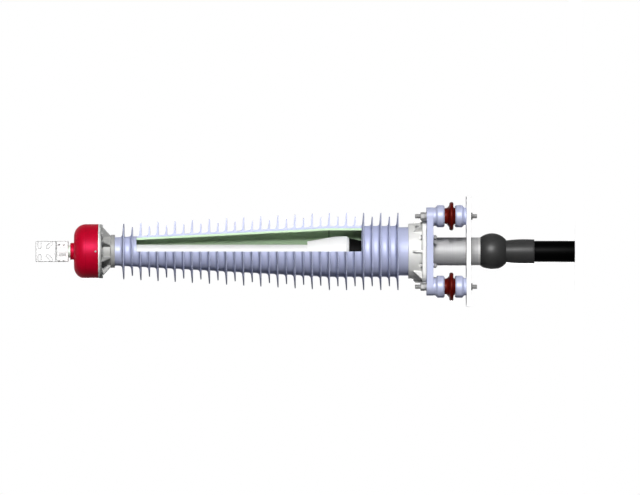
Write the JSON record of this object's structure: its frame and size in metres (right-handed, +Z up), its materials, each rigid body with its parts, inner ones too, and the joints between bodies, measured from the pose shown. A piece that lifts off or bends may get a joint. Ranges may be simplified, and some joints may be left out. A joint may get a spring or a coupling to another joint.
{
  "type": "outdoor cable termination",
  "caption": "Upright high-voltage outdoor cable termination with a shedded tapered insulator cut away at one side, red rounded head shield, flat terminal pad and stand-off feet.",
  "frame": {"origin": "centre of the support plate's underside, on the insulator's axis", "axes": "+Z up the insulator's axis towards the terminal pad; front is -Y; the section window takes out the quarter with X above zero and Y below zero"},
  "size_m": [0.5, 0.5, 2.4485],
  "materials": {
    "silicone": "pale lavender silicone rubber, satin",
    "glass_fibre": "green glass-fibre resin tube, filament wound",
    "plate_lavender": "pale lavender coat on steel plate, satin",
    "cast_pale": "pale cast aluminium, fine sand grain",
    "head_cast": "cast aluminium, fine sand grain",
    "cover_metal": "turned aluminium",
    "shield_red": "red gloss coat on spun aluminium",
    "resin_brown": "red-brown cast resin, gloss",
    "cap_lavender": "pale lavender coat on cast metal, satin",
    "fastener_steel": "zinc-plated steel",
    "tube_metal": "drawn aluminium tube",
    "bulb_black": "black sealing compound, smooth",
    "sleeve_grey": "dark grey heat-shrink sleeve",
    "jacket_black": "black extruded plastic",
    "sheath_metal": "smooth aluminium sheath",
    "bedding_black": "black bedding",
    "screen_black": "black extruded screen",
    "insulation_white": "milky white insulation",
    "conductor_copper": "bare stranded copper, compacted",
    "cone_white": "white moulded rubber",
    "deflector_black": "black moulded rubber",
    "gasket_black": "black flat gasket",
    "terminal_plated": "tin-plated copper, turned",
    "connector_white": "white coat on cast metal",
    "support_white": "white coat on steel plate"
  },
  "bodies": {
    "root": {"support_plate": "support_white", "base_plate": "plate_lavender", "bottom_fitting": "cast_pale", "base_gasket": "gasket_black", "silicone_housing": "silicone", "frp_tube": "glass_fibre", "stress_cone": "cone_white", "field_deflector": "deflector_black", "entrance_tube": "tube_metal", "wiped_bulb": "bulb_black", "shrink_sleeve": "sleeve_grey", "head_fitting": "head_cast", "head_bolts": "fastener_steel", "cover_gasket": "gasket_black", "cover_plate": "cover_metal", "corona_shield": "shield_red", "shield_screws": "fastener_steel", "shield_neck_ring": "shield_red", "terminal_stud": "terminal_plated", "stud_lock_nut": "fastener_steel", "terminal_palm": "connector_white", "palm_keeper": "connector_white", "palm_screws": "connector_white", "cable_conductor": "conductor_copper", "cable_insulation": "insulation_white", "insulation_screen": "screen_black", "cable_bedding": "bedding_black", "metal_sheath": "sheath_metal", "cable_jacket": "jacket_black", "flange_bolts": "fastener_steel", "flange_washers": "fastener_steel", "flange_nuts": "fastener_steel", "upper_studs": "fastener_steel", "upper_plain_washers": "fastener_steel", "upper_spring_washers": "fastener_steel", "upper_nuts": "fastener_steel", "lower_studs": "fastener_steel", "lower_plain_washers": "fastener_steel", "lower_spring_washers": "fastener_steel", "lower_nuts": "fastener_steel", "standoff_1_lower_cap": "cap_lavender", "standoff_1_resin": "resin_brown", "standoff_1_upper_cap": "cap_lavender", "standoff_2_lower_cap": "cap_lavender", "standoff_2_resin": "resin_brown", "standoff_2_upper_cap": "cap_lavender", "standoff_3_lower_cap": "cap_lavender", "standoff_3_resin": "resin_brown", "standoff_3_upper_cap": "cap_lavender", "standoff_4_lower_cap": "cap_lavender", "standoff_4_resin": "resin_brown", "standoff_4_upper_cap": "cap_lavender"}
  },
  "joints": []
}
